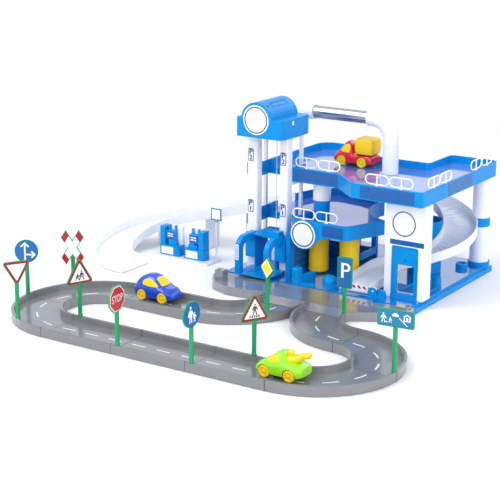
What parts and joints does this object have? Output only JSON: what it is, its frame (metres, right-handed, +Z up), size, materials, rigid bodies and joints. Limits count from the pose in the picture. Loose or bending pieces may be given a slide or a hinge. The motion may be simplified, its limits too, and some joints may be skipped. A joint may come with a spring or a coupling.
{
  "type": "toy parking garage",
  "caption": "Toy parking garage with lift, car wash and ramps, on a ring road with signs, a petrol station and toy cars.",
  "frame": {"origin": "on the ground, under the middle of the garage's base plate", "axes": "+X to the right of someone who faces the lift's mouth, along the road's long side; +Y from the road to the back of the garage; +Z up"},
  "size_m": [0.8969, 0.8292, 0.348],
  "materials": {
    "blue_plastic": "glossy",
    "white_plastic": "glossy",
    "road_grey": "satin",
    "green_plastic": "satin",
    "yellow_plastic": "glossy",
    "deep_blue_plastic": "glossy",
    "lime_plastic": "glossy",
    "red_plastic": "glossy",
    "chromed_tube": "polished",
    "lift_cord": "twisted cord"
  },
  "bodies": {
    "playset": {"base_plate": "blue_plastic", "deck_1": "blue_plastic", "deck_2": "blue_plastic", "lift_tower": "white_plastic", "lift_cap": "blue_plastic", "handle_elbow_left": "white_plastic", "handle_tube": "chromed_tube", "handle_post": "white_plastic", "rear_column": "white_plastic", "short_column": "white_plastic", "spiral_newel": "blue_plastic", "spiral_ramp": "white_plastic", "side_ramp": "white_plastic", "service_portal": "white_plastic", "service_door": "blue_plastic", "guard_rail_1": "white_plastic", "guard_rail_2": "white_plastic", "guard_rail_3": "white_plastic", "guard_rail_4": "white_plastic", "guard_rail_5": "white_plastic", "forecourt": "road_grey", "road_straight_1": "road_grey", "road_straight_2": "road_grey", "road_straight_3": "road_grey", "road_straight_4": "road_grey", "road_bend_1": "road_grey", "road_bend_2": "road_grey", "road_bend_3": "road_grey", "road_bend_4": "road_grey", "road_bend_5": "road_grey", "road_bend_6": "road_grey", "sign_parking": "green_plastic", "sign_priority": "green_plastic", "sign_level_crossing": "green_plastic", "sign_straight_or_right": "green_plastic", "sign_give_way": "green_plastic", "sign_children": "green_plastic", "sign_stop": "green_plastic", "sign_footpath": "green_plastic", "sign_crossing": "green_plastic", "sign_living_street": "green_plastic", "station_slab": "white_plastic", "pump_left": "blue_plastic", "pump_right": "blue_plastic", "lift_cord": "lift_cord"},
    "lift": {"lift_cabin": "blue_plastic"},
    "winch": {"winch_drum": "white_plastic"},
    "left_roller": {"wash_roller_left": "yellow_plastic"},
    "right_roller": {"wash_roller_right": "yellow_plastic"},
    "barrier": {"barrier_arm": "white_plastic"},
    "coupe": {"coupe_body": "deep_blue_plastic"},
    "coupe_front_wheels": {"coupe_front_axle": "yellow_plastic"},
    "coupe_rear_wheels": {"coupe_rear_axle": "yellow_plastic"},
    "pickup": {"pickup_body": "lime_plastic"},
    "pickup_front_wheels": {"pickup_front_axle": "yellow_plastic"},
    "pickup_rear_wheels": {"pickup_rear_axle": "yellow_plastic"},
    "lorry": {"lorry_body": "red_plastic", "lorry_cargo": "yellow_plastic"},
    "lorry_front_wheels": {"lorry_front_axle": "yellow_plastic"},
    "lorry_rear_wheels": {"lorry_rear_axle": "yellow_plastic"}
  },
  "joints": [
    {"name": "lift_slide", "type": "slide", "parent": "playset", "child": "lift", "axis": [0, 0, 1], "range_m": [0, 0.184], "deforming": ["lift_cord"]},
    {"name": "winch_turn", "type": "hinge", "parent": "playset", "child": "winch", "pos_m": [-0.135, -0.084, 0.303], "axis": [1, 0, 0], "range_deg": [-1230, 15]},
    {"name": "left_roller_spin", "type": "hinge", "parent": "playset", "child": "left_roller", "pos_m": [-0.05, -0.073, 0.058], "axis": [0, 0, 1], "continuous": true},
    {"name": "right_roller_spin", "type": "hinge", "parent": "playset", "child": "right_roller", "pos_m": [0.018, -0.075, 0.058], "axis": [0, 0, 1], "continuous": true},
    {"name": "barrier_lift", "type": "hinge", "parent": "playset", "child": "barrier", "pos_m": [0.117, -0.159, 0.027], "axis": [0, 1, 0], "range_deg": [0, 80]},
    {"name": "coupe_roll", "type": "slide", "parent": "playset", "child": "coupe", "axis": [1, 0, 0], "range_m": [-0.015, 0.05]},
    {"name": "coupe_front_wheels_spin", "type": "hinge", "parent": "coupe", "child": "coupe_front_wheels", "pos_m": [-0.1945, -0.366, 0.0163], "axis": [0, 1, 0], "continuous": true},
    {"name": "coupe_rear_wheels_spin", "type": "hinge", "parent": "coupe", "child": "coupe_rear_wheels", "pos_m": [-0.2395, -0.366, 0.0163], "axis": [0, 1, 0], "continuous": true},
    {"name": "pickup_roll", "type": "slide", "parent": "playset", "child": "pickup", "axis": [-1, 0, 0], "range_m": [-0.03, 0.03]},
    {"name": "pickup_front_wheels_spin", "type": "hinge", "parent": "pickup", "child": "pickup_front_wheels", "pos_m": [0.1595, -0.576, 0.0163], "axis": [0, 1, 0], "continuous": true},
    {"name": "pickup_rear_wheels_spin", "type": "hinge", "parent": "pickup", "child": "pickup_rear_wheels", "pos_m": [0.2045, -0.576, 0.0163], "axis": [0, 1, 0], "continuous": true},
    {"name": "lorry_roll", "type": "slide", "parent": "playset", "child": "lorry", "axis": [-1, 0, 0], "range_m": [-0.03, 0.03]},
    {"name": "lorry_front_wheels_spin", "type": "hinge", "parent": "lorry", "child": "lorry_front_wheels", "pos_m": [-0.0595, 0.044, 0.2163], "axis": [0, 1, 0], "continuous": true},
    {"name": "lorry_rear_wheels_spin", "type": "hinge", "parent": "lorry", "child": "lorry_rear_wheels", "pos_m": [-0.0145, 0.044, 0.2163], "axis": [0, 1, 0], "continuous": true}
  ],
  "couplings": [
    {"joint": "winch_turn", "follows": "lift_slide", "rad_per_m": -113.64}
  ]
}
